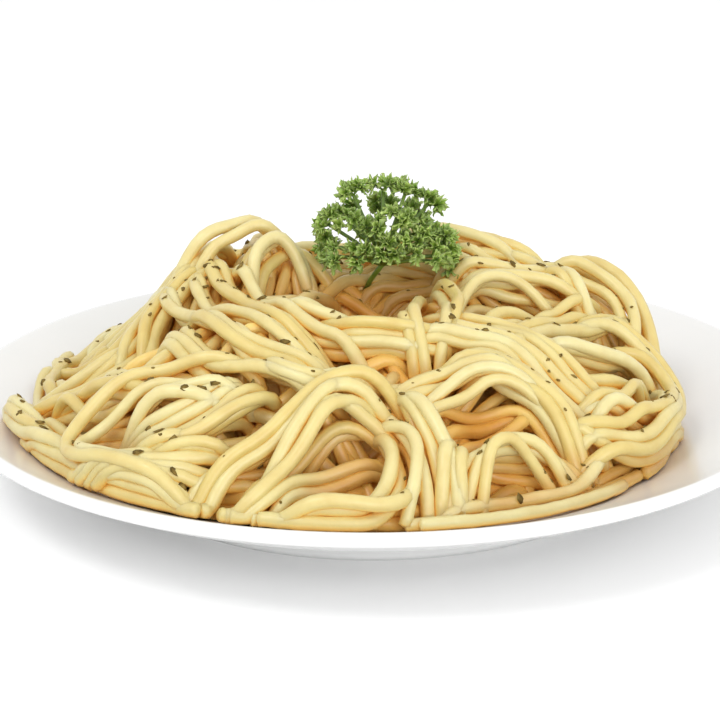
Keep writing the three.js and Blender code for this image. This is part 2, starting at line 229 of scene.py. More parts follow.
# Strands round the heap's edge: their turn in radians, their share of the way out and how it changes
RING_RADIUS = 90
RIM_STRANDS = 15
RIM_SWEEPS = (0.8, 1.3)
RIM_SHARES = (0.86, 0.985)
RIM_LEANS = (-0.05, 0.03)
# Strands round the foot of the far side, between two angles
FOOT_STRANDS = 30
FOOT_START = 0.1 * math.pi
FOOT_TURN = 0.8 * math.pi
FOOT_SWEEPS = (0.35, 0.8)
FOOT_SHARES = (0.76, 0.95)
FOOT_LEANS = (-0.12, 0.12)
# Forkfuls of the far side, spread by the golden angle to either side of a middle angle
BACK_FORKFULS = 30
BACK_STRANDS = 5
BACK_PITCH = 3.4
BACK_ANGLE = math.radians(94)
BACK_ANGLE_SPREAD = math.radians(81)
BACK_MIDDLE_SHARE = 0.855
BACK_END_SHARE = 0.9
BACK_TURNS = (0.2, 0.8)
BACK_HALF_LENGTHS = (14, 26)
BACK_BOWS = (4, 12)
GOLDEN_ANGLE = math.pi * (3 - math.sqrt(5))

# Flecks of dried herb: ragged flakes, most of them small
FLECKS = 1000
FLECK_SHARE = 0.97
FLECK_SIZES = (0.5, 1.45)
FLECK_SIZE_POWER = 1.6
FLECK_STRETCHES = (0.55, 1.0)
FLECK_REACHES = (0.75, 1.2)
FLECK_CURLS = (0.0, 0.2)
FLECK_CROWN = 0.3
FLECK_ROOT = 0.6
FLECK_CORNERS = 7
FLECK_SLOPE_REACH = 2.0
FLECK_LEAST_HEIGHT = 5.0
FLECK_MOST_DROP = 5.0

# Parsley: where the stem stands and forks
SPRIG_FOOT = (-3.0, 9.0)
HUB = (2.0, -1.0, 54.0)
STEM_RADIUS = 0.7
STEM_DEPTH = 14.0
STEM_BEND = (-0.5, 0.2, 0.0)
STALK_RADIUS = 0.5
STALK_BEND = (0.0, 0.0, 0.8)
STALK_SIDES = 8
STALK_TONE = 0.3
# Middle of each spray of curly florets
SPRAYS = (
    (-6, 0, 74), (2.5, 2, 75), (8.5, 0, 74), (15, 1, 71), (-13, -2, 66), (-7, -5, 67), (0, -7, 66),
    (7, -6, 68), (13.5, -5, 64), (19.5, -3, 61), (-11, -7, 58), (-4, -9, 59), (3.5, -10, 60), (10, -9, 61),
    (16.5, -7, 58), (20, -2, 55), (-8, 8, 67), (2, 11, 68), (11, 9, 66), (-13, 7, 58), (-1, 14, 60),
    (9, 15, 59), (17, 8, 59),
)
SPRAY_FLORETS = 3
SPRAY_SPREAD = 2.5
SPRAY_LEAN = math.radians(35)
TWIG_RADIUS = 0.3
# Leaf: a fan of lobes with three teeth each, ruffled more towards its edge
LEAVES = 5
LEAF_OPENING = math.radians(58)
LEAF_OPENING_SHARES = (0.6, 1.25)
LEAF_SPIN_SPREAD = 0.2
LEAF_LENGTH = 3.3
LEAF_LENGTH_SHARES = (0.8, 1.15)
LEAF_SPREAD = math.radians(75)
LEAF_START = 0.05
LEAF_BELLY = 0.5
LEAF_NARROWING = 0.25
LEAF_ROWS = 5
LEAF_COLUMNS = 25
LEAF_LOBES = 3
LOBE_DEPTH = 0.27
LOBE_POWER = 1.5
LOBE_TEETH = 3
TOOTH_DEPTH = 0.07
TOOTH_RUFFLE = 0.6
TOOTH_LEAN = 0.4
LEAF_RUFFLE = 0.55
RUFFLE_POWER = 1.3
LEAF_DROOP = 0.15
LEAF_THICKNESS = 0.2
# A direction that no leaf or stalk points in
OFF_AXIS = (0.1, 0.2, 1.0)

# Painted shade in narrow gaps: how wide a gap counts as narrow, in metres, and the rays that measure it
GAP_WIDTH = 0.01
GAP_RAYS = 8
WHITE = (1.0, 1.0, 1.0)
BLACK = (0.0, 0.0, 0.0)
# Sockets of a node that mixes colours
MIX_FACTOR, MIX_FIRST, MIX_SECOND, MIX_RESULT = 0, 6, 7, 2

# Stage: half the side of a square floor, and a white sky
STAGE_HALF = 3000
SKY_STRENGTH = 1.04
# Lights in metres and watts, as name, place, size, power
LIGHT_AIM = (0, 0, 0.03)
LIGHTS = (
    ("key", (-0.45, -0.55, 0.95), 0.35, 3.2),
    ("front", (0.45, -1.05, 0.35), 0.8, 5.5),
)

# Camera: where the photograph was taken from, on a picture 720 pixels square
PICTURE_SIDE = 720
RIM_CENTRE_PIXEL = (372.5, 371.6)
CAMERA_DISTANCE = 438.9
CAMERA_ELEVATION = math.radians(17.95)
CAMERA_FIELD = math.radians(25)
CAMERA_ROLL = math.radians(0.27)
SENSOR_WIDTH = 36


# Surfaces that things rest on

LIP_CENTRE = (RIM_RADIUS - LIP_RADIUS, RIM_HEIGHT - LIP_RADIUS)
INSIDE_RADIUS = LIP_CENTRE[0] - LIP_RADIUS * math.sin(LIP_SLOPE)
INSIDE_HEIGHT = LIP_CENTRE[1] + LIP_RADIUS * math.cos(LIP_SLOPE)
BOWL_RUN = INSIDE_RADIUS - FLOOR_RADIUS
BOWL_RISE = INSIDE_HEIGHT - FLOOR_HEIGHT
BOWL_POWER = math.tan(LIP_SLOPE) * BOWL_RUN / BOWL_RISE


def plate_top(radius):
    along = np.maximum(0, np.asarray(radius, float) - FLOOR_RADIUS) / BOWL_RUN
    return FLOOR_HEIGHT + BOWL_RISE * along**BOWL_POWER


def plate_slope(radius):
    along = max(0, radius - FLOOR_RADIUS) / BOWL_RUN
    return math.atan(math.tan(LIP_SLOPE) * along ** (BOWL_POWER - 1))


def bumps(x, y, rows):
    """Sum of round humps or dips given as x, y, radius, rise."""
    total = np.zeros_like(np.asarray(x, float))
    for at_x, at_y, radius, rise in rows:
        total += rise * np.exp(-((x - at_x) ** 2 + (y - at_y) ** 2) / radius**2)
    return total


def heap_share(x, y):
    """0 at the heap's middle, 1 at its edge."""
    return np.hypot((x - HEAP_CENTRE[0]) / HEAP_RADII[0], (y - HEAP_CENTRE[1]) / HEAP_RADII[1])


def heap_skin(x, y):
    dome = np.maximum(OUTSIDE_DROP, 1 - heap_share(x, y) ** HEAP_POWER)
    return HEAP_EDGE_HEIGHT + HEAP_RISE * dome + bumps(x, y, LOBES)


def heap_place(share, angle):
    return np.array([
        HEAP_CENTRE[0] + HEAP_RADII[0] * share * math.cos(angle),
        HEAP_CENTRE[1] + HEAP_RADII[1] * share * math.sin(angle),
    ])


# The pile: how high whatever already lies on the plate reaches, on a square grid


def blurred(values, width):
    """Mean over a square of the grid, width millimetres on a side."""
    count = 2 * round(width / GRID_STEP / 2) + 1
    for _ in range(2):
        values = np.array([np.convolve(row, np.full(count, 1 / count), "same") for row in values]).T
    return values


class Pile:
    """Heights on the grid: of the plate, the fill's top, the ceiling and the top of what lies there."""

    def __init__(self, upper):
        """An empty plate with a low mound, leaving room for the upper noodles, which are given as ways."""
        side = np.arange(-RIM_RADIUS, RIM_RADIUS + GRID_STEP, GRID_STEP)
        self.low = side[0]
        self.x, self.y = np.meshgrid(side, side)
        self.plate = plate_top(np.hypot(self.x, self.y)) + PLATE_GAP
        skin = heap_skin(self.x, self.y)
        self.ceiling = np.maximum(skin, self.plate + EDGE_DEPTH)
        cover = np.zeros_like(self.x)
        for path, _ in upper:
            rows, columns, _ = self.cells(path, NOODLE_RADIUS)
            cover.flat[np.unique(rows * len(cover) + columns)] += 1
        room = LAYER_DEPTH * blurred(cover, COVER_BLUR) + bumps(self.x, self.y, HOLES)
        self.fill = skin - FILL_DEPTH - room
        self.top = np.maximum(self.fill - BED_DEPTH, self.plate)

    def cell(self, x, y):
        """Row and column of the grid at a place."""
        row = np.rint((np.asarray(y) - self.low) / GRID_STEP).astype(int)
        column = np.rint((np.asarray(x) - self.low) / GRID_STEP).astype(int)
        return row, column

    def cells(self, path, radius):
        """Grid cells under a noodle's points, and how far its underside curves up over each."""
        reach = int(radius / GRID_STEP)
        offset = np.arange(-reach, reach + 1)
        right, up = np.meshgrid(offset, offset)
        apart = np.hypot(right, up) * GRID_STEP
        near = apart < radius
        curve = np.sqrt(radius**2 - apart[near] ** 2)
        row, column = self.cell(path[:, 0], path[:, 1])
        last = len(self.x) - 1
        rows = np.clip(row[:, None] + up[near], 0, last)
        columns = np.clip(column[:, None] + right[near], 0, last)
        return rows, columns, curve

    def rest_height(self, path, radius):
        """Lowest height of a noodle's middle at each point, on what lies there and on the bare plate."""
        rows, columns, curve = self.cells(path, radius * SQUEEZE)
        on_noodles = (self.top[rows, columns] + curve).max(axis=1)
        rows, columns, curve = self.cells(path, radius)
        on_plate = (self.plate[rows, columns] + curve).max(axis=1)
        return np.maximum(on_noodles, on_plate), on_plate

    def add(self, path, height, radius):
        """Raises the top to that of a noodle."""
        rows, columns, curve = self.cells(path, radius)
        np.maximum.at(self.top, (rows, columns), height[:, None] + curve)

    def sample(self, x, y, values):
        return values[self.cell(x, y)]


def drape(floor, sag):
    """Lowest line that clears every point of floor and sags between the points that carry it."""
    place = np.arange(len(floor))
    bent = floor - sag * place**2
    carried = []
    for here in place:
        while len(carried) > 1:
            before, last = carried[-2], carried[-1]
            share = (last - before) / (here - before)
            if bent[last] > bent[before] + share * (bent[here] - bent[before]):
                break
            carried.pop()
        carried.append(here)
    return np.interp(place, carried, bent[carried]) + sag * place**2


def smoothed(values, rounds):
    for _ in range(rounds):
        padded = np.concatenate([values[:1], values, values[-1:]])
        values = (padded[:-2] + 2 * padded[1:-1] + padded[2:]) / 4
    return values


def arc(start, end, bow, shift=0.0, extra=0.0):
    """Points of a round arc that bows to the left of its way, moved sideways and made longer at both ends."""
    start, end = np.array(start, float), np.array(end, float)
    chord = end - start
    length = np.hypot(*chord)
    side = np.array([-chord[1], chord[0]]) / length
    if abs(bow) < LEAST_BOW:
        bow = LEAST_BOW
    radius = (length**2 / 4 + bow**2) / (2 * bow)
    centre = (start + end) / 2 + side * (bow - radius)
    first = math.atan2(start[1] - centre[1], start[0] - centre[0])
    sweep = -4 * math.atan(2 * bow / length)
    longer = extra / abs(radius * sweep)
    count = max(LEAST_ARC_POINTS, round(abs(radius * sweep) * (1 + 2 * longer) / NOODLE_STEP))
    angle = first + np.linspace(-longer, 1 + longer, count) * sweep
    away = max(LEAST_ARC_RADIUS, abs(radius) + math.copysign(shift, radius * shift))
    return centre + away * np.stack([np.cos(angle), np.sin(angle)], axis=1)


def waver(path, rng):
    """Moves a way sideways in a gentle wave, as no noodle lies in a true arc."""
    share = np.linspace(0, 1, len(path))
    along = np.gradient(path, axis=0)
    along /= np.hypot(along[:, 0], along[:, 1])[:, None]
    side = np.stack([-along[:, 1], along[:, 0]], axis=1)
    length = len(path) * NOODLE_STEP
    wave = np.zeros(len(path))
    for wavelength, size in WAVER_WAVES:
        wave += size * np.sin(2 * math.pi * (length * share / wavelength + rng.random()))
    return path + side * (WAVER * wave)[:, None]


def round_holes(path):
    """Bends a way sideways round the holes that it would cross, and ends it short of one it would end in."""
    for x, y, radius, _ in HOLES:
        away = path - (x, y)
        distance = np.hypot(away[:, 0], away[:, 1])
        closest = int(np.argmin(distance))
        if distance[closest] > HOLE_REACH * radius:
            continue
        if closest < END_POINTS or closest >= len(path) - END_POINTS:
            path = path[distance > HOLE_CLEAR * radius]
            continue
        push = math.hypot(distance[closest], HOLE_CLEAR * radius) - distance[closest]
        outward = away[closest] / max(distance[closest], TINY)
        nearness = np.exp((distance[closest] ** 2 - distance**2) / (HOLE_BEND * radius) ** 2)
        path = path + push * nearness[:, None] * outward
    return path


def turned_at_edge(path):
    """Bends a way that would leave the heap so that it runs along the edge, and ends it where it can't."""
    share = heap_share(path[:, 0], path[:, 1])
    over = np.maximum(0, share - EDGE_SHARE + EDGE_BEND) / EDGE_BEND
    inward = np.where(over > 0, EDGE_SHARE - EDGE_BEND * np.exp(-over), share)
    path = HEAP_CENTRE + (path - HEAP_CENTRE) * (inward / np.maximum(share, TINY))[:, None]
    spacing = np.hypot(*np.diff(path, axis=0).T)
    ends = np.concatenate([[-1], np.flatnonzero(spacing < LEAST_SPACING), [len(path)]])
    longest = np.argmax(np.diff(ends))
    return smoothed(path[ends[longest] + 1:ends[longest + 1]], EDGE_ROUNDS)


def long_enough(ways):
    return [way for way in ways if len(way[0]) >= LEAST_POINTS]


def lay(pile, path, arch, rng):
    """Lays one noodle on the pile; returns its middle line and radius, or nothing where the heap is full."""
    radius = NOODLE_RADIUS + NOODLE_RADIUS_SPREAD * rng.standard_normal()
    floor, on_plate = pile.rest_height(path, radius)
    height = smoothed(drape(floor, SAG * NOODLE_STEP**2 / 2), DRAPE_ROUNDS)
    ceiling = pile.sample(path[:, 0], path[:, 1], pile.ceiling) - radius + PRESS_ROOM
    if (height - ceiling).mean() > HIGHEST_MEAN:
        return None
    height = np.minimum(height, ceiling + PRESS_SHARE * (height - ceiling))
    share = np.linspace(0, 1, len(path))
    height += arch * np.sin(math.pi * share)
    from_end = np.minimum(share, 1 - share) * len(path) * NOODLE_STEP
    height -= DIVE_DEPTH * np.maximum(0, 1 - from_end / DIVE_LENGTH) ** 2
    height = np.maximum(height, on_plate)
    pile.add(path, height, radius)
    return np.column_stack([path, height]), radius


def fill_noodles(pile, rng):
    """Plain noodles, each laid where the heap is still lowest."""
    noodles = []
    for _ in range(FILL_STRANDS):
        best, best_room = None, FILL_LEAST
        for _ in range(FILL_TRIES):
            middle = heap_place(math.sqrt(rng.random()) * FILL_MIDDLE_SHARE, 2 * math.pi * rng.random())
            heading = 2 * math.pi * rng.random()
            half = rng.uniform(*FILL_HALF_LENGTHS) * np.array([math.cos(heading), math.sin(heading)])
            path = round_holes(waver(arc(middle - half, middle + half, rng.uniform(*FILL_BOWS)), rng))
            if len(path) < LEAST_POINTS or heap_share(path[:, 0], path[:, 1]).max() > FILL_SHARE:
                continue
            room = pile.sample(path[:, 0], path[:, 1], pile.fill - pile.top).mean()
            if room > best_room:
                best, best_room = path, room
        if best is not None:
            noodles.append(lay(pile, best, 0, rng))
    return [noodle for noodle in noodles if noodle]


def ring_path(rng, start, sweeps, shares, leans, power):
    """Part of a ring round the heap, which leans in or out by a power of how far it is from its middle."""
    sweep = rng.uniform(*sweeps)
    share = rng.uniform(*shares)
    lean = rng.uniform(*leans)
    steps = np.linspace(0, 1, round(sweep * RING_RADIUS / NOODLE_STEP))
    path = [heap_place(share + lean * (2 * step - 1) ** power, start + sweep * step) for step in steps]
    return waver(np.array(path), rng)


def rim_ways(rng):
    """Ways of noodles that run round the heap's foot on the plate."""
    ways = []
    for index in range(RIM_STRANDS):
        start = 2 * math.pi * (index + rng.random()) / RIM_STRANDS
        path = ring_path(rng, start, RIM_SWEEPS, RIM_SHARES, RIM_LEANS, 2)
        ways.append((turned_at_edge(round_holes(path)), 0))
    return long_enough(ways)


def foot_ways(rng):
    """Ways of noodles that lie round the foot of the far side, higher and lower."""
    ways = []
    for index in range(FOOT_STRANDS):
        start = FOOT_START + FOOT_TURN * (index + rng.random()) / FOOT_STRANDS
        path = ring_path(rng, start, FOOT_SWEEPS, FOOT_SHARES, FOOT_LEANS, 1)
        ways.append((turned_at_edge(path), 0))
    return long_enough(ways)


def forkful_ways(rng, row):
    """Ways of noodles that lie side by side in one bundle."""
    from_x, from_y, to_x, to_y, bow, strands, width, arch = row
    start, end = np.array([from_x, from_y]), np.array([to_x, to_y])
    along = (end - start) / np.hypot(*(end - start))
    ways = []
    for strand in rng.permutation(strands):
        shift = width * (strand / max(1, strands - 1) - 0.5) + rng.normal(0, SHIFT_SPREAD)
        from_here = start + along * rng.normal(0, END_SPREAD)
        to_there = end + along * rng.normal(0, END_SPREAD)
        path = waver(arc(from_here, to_there, bow * rng.normal(1, BOW_SPREAD), shift, EXTRA_LENGTH), rng)
        if arch < LOOP_ARCH:
            path = round_holes(path)
        if len(path) >= LEAST_POINTS:
            ways.append((turned_at_edge(path), arch * rng.normal(1, ARCH_SPREAD)))
    return long_enough(ways)


def spline(places):
    """Evenly spaced points of a smooth curve through the given places."""
    knots = np.array(places, float)
    knots = np.vstack([2 * knots[0] - knots[1], knots, 2 * knots[-1] - knots[-2]])
    share = np.linspace(0, 1, SPLINE_STEPS, endpoint=False)[:, None]
    stretches = []
    for before, here, there, beyond in zip(knots, knots[1:], knots[2:], knots[3:]):
        bend = 2 * here + (there - before) * share
        bend += (2 * before - 5 * here + 4 * there - beyond) * share**2
        bend += (3 * here - before - 3 * there + beyond) * share**3
        stretches.append(bend / 2)
    fine = np.vstack(stretches + [knots[-2:-1]])
    along = np.concatenate([[0], np.cumsum(np.hypot(*np.diff(fine, axis=0).T))])
    even = np.linspace(0, along[-1], round(along[-1] / NOODLE_STEP))
    return np.column_stack([np.interp(even, along, fine[:, 0]), np.interp(even, along, fine[:, 1])])


def hairpin_ways(rng, row):
    """Ways of noodles that run side by side through the given places."""
    strands, width, places = row
    middle = spline(places)
    along = np.gradient(middle, axis=0)
    along /= np.hypot(along[:, 0], along[:, 1])[:, None]
    side = np.column_stack([-along[:, 1], along[:, 0]])
    ways = []
    for strand in rng.permutation(strands):
        shift = width * (strand / (strands - 1) - 0.5) + rng.normal(0, HAIRPIN_SHIFT_SPREAD)
        trim = rng.integers(0, HAIRPIN_TRIM, 2)
        path = (middle + side * shift)[trim[0]:len(middle) - trim[1]]
        ways.append((turned_at_edge(waver(path, rng)), 0))
    return ways


def back_forkfuls(rng):
    """Forkfuls all over the far side, evenly spread and lying every way."""
    rows = []
    for index in range(BACK_FORKFULS):
        share = BACK_MIDDLE_SHARE * math.sqrt((index + 0.5) / BACK_FORKFULS)
        angle = BACK_ANGLE + BACK_ANGLE_SPREAD * math.sin(index * GOLDEN_ANGLE)
        middle = heap_place(share, angle)
        heading = angle + rng.uniform(*BACK_TURNS) * math.pi
        half = rng.uniform(*BACK_HALF_LENGTHS) * np.array([math.cos(heading), math.sin(heading)])
        ends = [middle - half, middle + half]
        for number, end in enumerate(ends):
            inward = min(1, BACK_END_SHARE / heap_share(*end))
            ends[number] = np.array(HEAP_CENTRE) + (end - HEAP_CENTRE) * inward
        bow = rng.uniform(*BACK_BOWS) * rng.choice([-1, 1])
        rows.append((*ends[0], *ends[1], bow, BACK_STRANDS, BACK_STRANDS * BACK_PITCH, 0))
    return rows


def make_pile():
    """Returns the pile, the noodles that fill it and those that lie on top."""
    draws = np.random.default_rng
    upper = rim_ways(draws(RIM_SEED))
    for index, row in enumerate(back_forkfuls(draws(BACK_SEED))):
        upper += forkful_ways(draws((*BACK_WAY_SEED, index)), row)
    for index, row in enumerate(FORKFULS):
        upper += forkful_ways(draws((*FORKFUL_SEED, index)), row)
    for index, row in enumerate(HAIRPINS):
        upper += hairpin_ways(draws((*HAIRPIN_SEED, index)), row)
    foot = foot_ways(draws(FOOT_SEED))
    pile = Pile(upper)
    inner = fill_noodles(pile, draws(FILL_SEED))
    outer = []
    for ways, seed in ((foot, FOOT_LAY_SEED), (upper, UPPER_LAY_SEED)):
        rng = draws(seed)
        outer += [lay(pile, path, arch, rng) for path, arch in ways]
    return pile, inner, [noodle for noodle in outer if noodle]


# Meshes


def add_mesh(name, points, faces):
    mesh = bpy.data.meshes.new(name)
    mesh.from_pydata((np.asarray(points) * MM).tolist(), [], faces)
    mesh.update()
    mesh.polygons.foreach_set("use_smooth", [True] * len(mesh.polygons))
    piece = bpy.data.objects.new(name, mesh)
    bpy.context.scene.collection.objects.link(piece)
    return piece


def add_values(piece, name, values):
    """Keeps one number for each point of a mesh, for its material to read."""
    kept = piece.data.attributes.new(name, "FLOAT", "POINT")
    kept.data.foreach_set("value", np.asarray(values, np.float32))


def tube(line, radii, sides, first):
    """Points and faces of a round tube along a line, with rounded ends; faces count points from first."""
    along = np.gradient(line, axis=0)
    along /= np.linalg.norm(along, axis=1)[:, None]
    side = np.cross([0.0, 0.0, 1.0], along) + np.array([TINY, 0, 0])
    side /= np.linalg.norm(side, axis=1)[:, None]
    up = np.cross(along, side)
    turn = 2 * math.pi * np.arange(sides) / sides
    ring = np.cos(turn)[None, :, None] * side[:, None] + np.sin(turn)[None, :, None] * up[:, None]
    points = (line[:, None] + ring * np.asarray(radii)[:, None, None]).reshape(-1, 3)
    tips = [line[0] - along[0] * radii[0] * TIP_REACH, line[-1] + along[-1] * radii[-1] * TIP_REACH]
    points = np.vstack([points, tips])
    count = len(line)
    faces = []
    for ring_index in range(count - 1):
        here = first + ring_index * sides
        for corner in range(sides):
            following = (corner + 1) % sides
            faces.append((here + corner, here + following, here + sides + following, here + sides + corner))
    start_tip = first + count * sides
    last_ring = first + (count - 1) * sides
    for corner in range(sides):
        following = (corner + 1) % sides
        faces.append((start_tip, first + following, first + corner))
        faces.append((start_tip + 1, last_ring + corner, last_ring + following))
    return points, faces


def noodle_piece(name, noodles, sides, tint_range):
    """Noodles as lumpy tubes; each has its own tint, and each point keeps how much painted shade it takes
    from its depth under the heap's skin.
    """
    rng = np.random.default_rng(NOODLE_SEED)
    points, faces, tints, depth_shades = [], [], [], []
    total = 0
    for line, radius in noodles:
        length = len(line) * NOODLE_STEP
        share = np.linspace(0, 1, len(line))
        lumps = np.zeros(len(line))
        for wavelength in LUMP_WAVES:
            lumps += np.sin(2 * math.pi * (share * length / wavelength + rng.random()))
        new_points, new_faces = tube(line, radius * (1 + LUMP_SIZE * lumps), sides, total)
        points.append(new_points)
        faces += new_faces
        tints.append(np.full(len(new_points), rng.uniform(*tint_range)))
        # Painted shade: each point darkens to brown by how deep it lies under the heap's skin
        depth = heap_skin(line[:, 0], line[:, 1]) - line[:, 2]
        depth_shade = np.interp(depth, SHADE_DEPTHS, (0.0, 1.0))
        depth_shades.append(np.concatenate([np.repeat(depth_shade, sides), depth_shade[[0, -1]]]))
        total += len(new_points)
    piece = add_mesh(name, np.vstack(points), faces)
    add_values(piece, "tint", np.concatenate(tints))
    add_values(piece, "depth_shade", np.concatenate(depth_shades))
    return piece


def core_piece(pile):
    """Packed noodles in cream sauce, which close the gaps between the noodles not far down."""
    level = np.minimum(blurred(pile.top, SAUCE_BLUR) - SAUCE_DEPTH, pile.fill - SAUCE_UNDER_FILL)
    shares = CORE_SHARE * np.linspace(0, 1, CORE_RINGS + 1)[1:]
    under_shares = CORE_SHARE * np.linspace(1, 0, CORE_UNDER_RINGS + 1)[:-1]
    turns = 2 * math.pi * np.arange(CORE_SECTORS) / CORE_SECTORS
    points = []
    for share in shares:
        taper = min(1, (CORE_SHARE - share) / CORE_TAPER)
        for turn in turns:
            x, y = heap_place(share, turn)
            bottom = float(pile.sample(x, y, pile.plate))
            depth = max(CORE_LEAST_DEPTH, float(pile.sample(x, y, level)) - bottom)
            points.append((x, y, bottom + CORE_RISE + depth * taper))
    for share in under_shares:
        for turn in turns:
            x, y = heap_place(share, turn)
            points.append((x, y, float(pile.sample(x, y, pile.plate))))
    faces = []
    rings = len(points) // CORE_SECTORS
    middle = len(points)
    points.append((*HEAP_CENTRE, float(pile.sample(*HEAP_CENTRE, level))))
    points.append((*HEAP_CENTRE, float(pile.sample(*HEAP_CENTRE, pile.plate))))
    for sector in range(CORE_SECTORS):
        following = (sector + 1) % CORE_SECTORS
        for ring in range(rings - 1):
            here = ring * CORE_SECTORS
            beyond = here + CORE_SECTORS
            faces.append((here + sector, beyond + sector, beyond + following, here + following))
        last = (rings - 1) * CORE_SECTORS
        faces.append((middle, sector, following))
        faces.append((middle + 1, last + following, last + sector))
    return add_mesh("heap_core", points, faces)


def fleck_piece(pile):
    """Flakes strewn over the heap, which lie on whatever noodle is on top and are left out on steep sides."""
    rng = np.random.default_rng(FLECK_SEED)
    across = FLECK_SLOPE_REACH
    points, faces = [], []
    for _ in range(FLECKS):
        x, y = heap_place(math.sqrt(rng.random()) * FLECK_SHARE, 2 * math.pi * rng.random())
        z = float(pile.sample(x, y, pile.top))
        if z - pile.sample(x, y, pile.plate) < FLECK_LEAST_HEIGHT:
            continue
        beside_x = pile.sample([x - across, x + across], [y, y], pile.top)
        beside_y = pile.sample([x, x], [y - across, y + across], pile.top)
        if z - min(beside_x.min(), beside_y.min()) > FLECK_MOST_DROP:
            continue
        facing = np.array([beside_x[0] - beside_x[1], beside_y[0] - beside_y[1], 2 * across])
        facing /= np.linalg.norm(facing)
        first = np.cross(facing, [0.0, 1.0, 0.0])
        first /= np.linalg.norm(first)
        second = np.cross(facing, first)
        size = FLECK_SIZES[0] + (FLECK_SIZES[1] - FLECK_SIZES[0]) * rng.random() ** FLECK_SIZE_POWER
        stretch = rng.uniform(*FLECK_STRETCHES)
        spin = 2 * math.pi * rng.random()
        base = len(points)
        middle = np.array([x, y, z])
        for corner in range(FLECK_CORNERS):
            angle = spin + 2 * math.pi * corner / FLECK_CORNERS
            reach = size * rng.uniform(*FLECK_REACHES)
            place = middle + first * reach * math.cos(angle) + second * reach * stretch * math.sin(angle)
            points.append(place + facing * rng.uniform(*FLECK_CURLS))
        points.append(middle + facing * FLECK_CROWN)
        points.append(middle - facing * FLECK_ROOT)
        for corner in range(FLECK_CORNERS):
            following = (corner + 1) % FLECK_CORNERS
            faces.append((base + corner, base + following, base + FLECK_CORNERS))
            faces.append((base + following, base + corner, base + FLECK_CORNERS + 1))
    return add_mesh("herb_flecks", points, faces)


def plate_piece():
    """Smooth turned plate: inside from the middle out, round the lip, down the outside, under the foot."""
    profile = [(0.0, FLOOR_HEIGHT), (FLOOR_RADIUS / 2, FLOOR_HEIGHT)]
    for share in np.linspace(0, 1, BOWL_STEPS + 1):
        radius = FLOOR_RADIUS + BOWL_RUN * share
        profile.append((radius, float(plate_top(radius))))
    for share in np.linspace(0, 1, LIP_STEPS + 1)[1:]:
        angle = LIP_SLOPE + math.pi / 2 - math.pi * share
        radius = LIP_CENTRE[0] + LIP_RADIUS * math.cos(angle)
        profile.append((radius, LIP_CENTRE[1] + LIP_RADIUS * math.sin(angle)))
    last_inside = FOOT_RADIUS - FOOT_WALL * math.sin(plate_slope(FOOT_RADIUS))
    for share in np.linspace(0, 1, WALL_STEPS + 1)[1:]:
        radius = INSIDE_RADIUS + (last_inside - INSIDE_RADIUS) * share
        wall = 2 * LIP_RADIUS + (FOOT_WALL - 2 * LIP_RADIUS) * share
        slope = plate_slope(radius)
        profile.append((radius + wall * math.sin(slope), float(plate_top(radius)) - wall * math.cos(slope)))
    foot_top = profile[-1][1]
    for share in np.linspace(0, 1, FOOT_STEPS + 1)[1:]:
        profile.append((FOOT_RADIUS - FOOT_TAPER * share, foot_top * (1 - share)))
    profile.append((FOOT_RADIUS - FOOT_WIDTH, 0.0))
    profile.append((FOOT_RADIUS - FOOT_WIDTH - FOOT_TAPER, FOOT_RECESS))
    profile.append((0.0, FOOT_RECESS))
    points, faces = [], []
    for radius, height in profile:
        for segment in range(PLATE_SEGMENTS):
            turn = 2 * math.pi * segment / PLATE_SEGMENTS
            points.append((radius * math.cos(turn), radius * math.sin(turn), height))
    for ring in range(len(profile) - 1):
        for segment in range(PLATE_SEGMENTS):
            following = (segment + 1) % PLATE_SEGMENTS
            here = ring * PLATE_SEGMENTS
            beyond = here + PLATE_SEGMENTS
            faces.append((here + segment, beyond + segment, beyond + following, here + following))
    piece = add_mesh("porcelain_plate", points, faces)
    merge = piece.modifiers.new("merge", "WELD")
    merge.merge_threshold = TINY
    return piece


# Parsley


